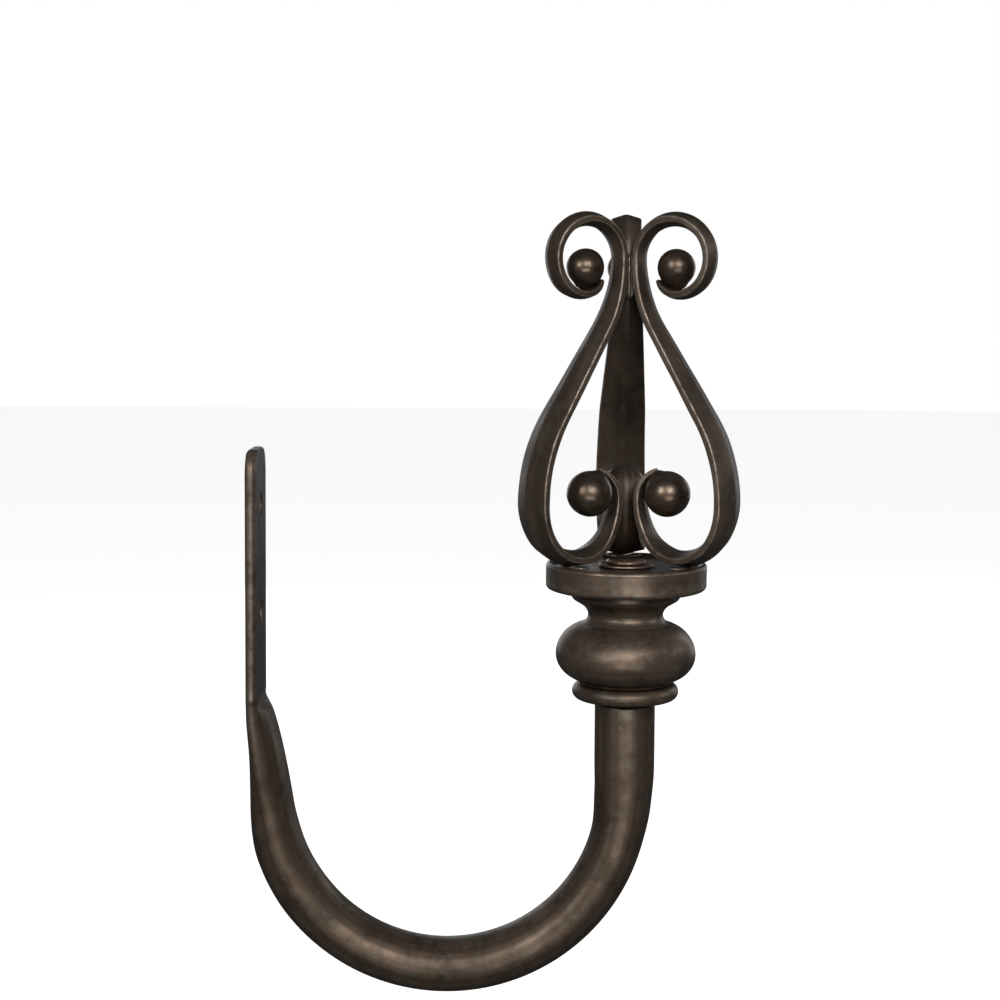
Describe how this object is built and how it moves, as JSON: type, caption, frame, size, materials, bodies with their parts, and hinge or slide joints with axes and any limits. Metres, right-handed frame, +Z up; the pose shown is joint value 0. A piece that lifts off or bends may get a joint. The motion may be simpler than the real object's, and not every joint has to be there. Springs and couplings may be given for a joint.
{
  "type": "curtain holdback",
  "caption": "Wall curtain holdback: a round tube flattened into a screwed wall strap and bent to a U, with a turned bulb, dish and open scroll cage finial on its free end.",
  "frame": {"origin": "on the wall, at the back face of the mounting strap, midway between its two screw holes", "axes": "+X away from the wall, +Z up along the strap and the finial, +Y along the wall"},
  "size_m": [0.1286, 0.0525, 0.208],
  "materials": {
    "oil_rubbed_bronze": "dark oil-rubbed bronze on steel, satin, lightly mottled",
    "plug_brass": "plain turned brass"
  },
  "bodies": {
    "hook": {"hook_tube": "oil_rubbed_bronze", "thread_plug": "plug_brass"},
    "washer": {"seat_washer": "oil_rubbed_bronze"},
    "finial": {"bead_ring": "oil_rubbed_bronze", "bulb": "oil_rubbed_bronze", "dish": "oil_rubbed_bronze", "bolt_washer": "oil_rubbed_bronze", "finial_bolt": "oil_rubbed_bronze", "band_left": "oil_rubbed_bronze", "band_right": "oil_rubbed_bronze", "band_back": "oil_rubbed_bronze", "lower_ball_left": "oil_rubbed_bronze", "lower_ball_right": "oil_rubbed_bronze", "lower_ball_back": "oil_rubbed_bronze", "upper_ball_left": "oil_rubbed_bronze", "upper_ball_right": "oil_rubbed_bronze", "upper_ball_back": "oil_rubbed_bronze", "foot_weld_left": "oil_rubbed_bronze", "foot_weld_right": "oil_rubbed_bronze", "foot_weld_back": "oil_rubbed_bronze", "neck_braze": "oil_rubbed_bronze"}
  },
  "joints": [
    {"name": "finial_rise", "type": "slide", "parent": "hook", "child": "washer", "axis": [0, 0, 1], "range_m": [0, 0.008]},
    {"name": "finial_turn", "type": "hinge", "parent": "washer", "child": "finial", "pos_m": [0.0996, 0, -0.0375], "axis": [0, 0, 1], "range_deg": [0, 2881]}
  ],
  "couplings": [
    {"joint": "finial_turn", "follows": "finial_rise", "rad_per_m": 6283.2}
  ]
}
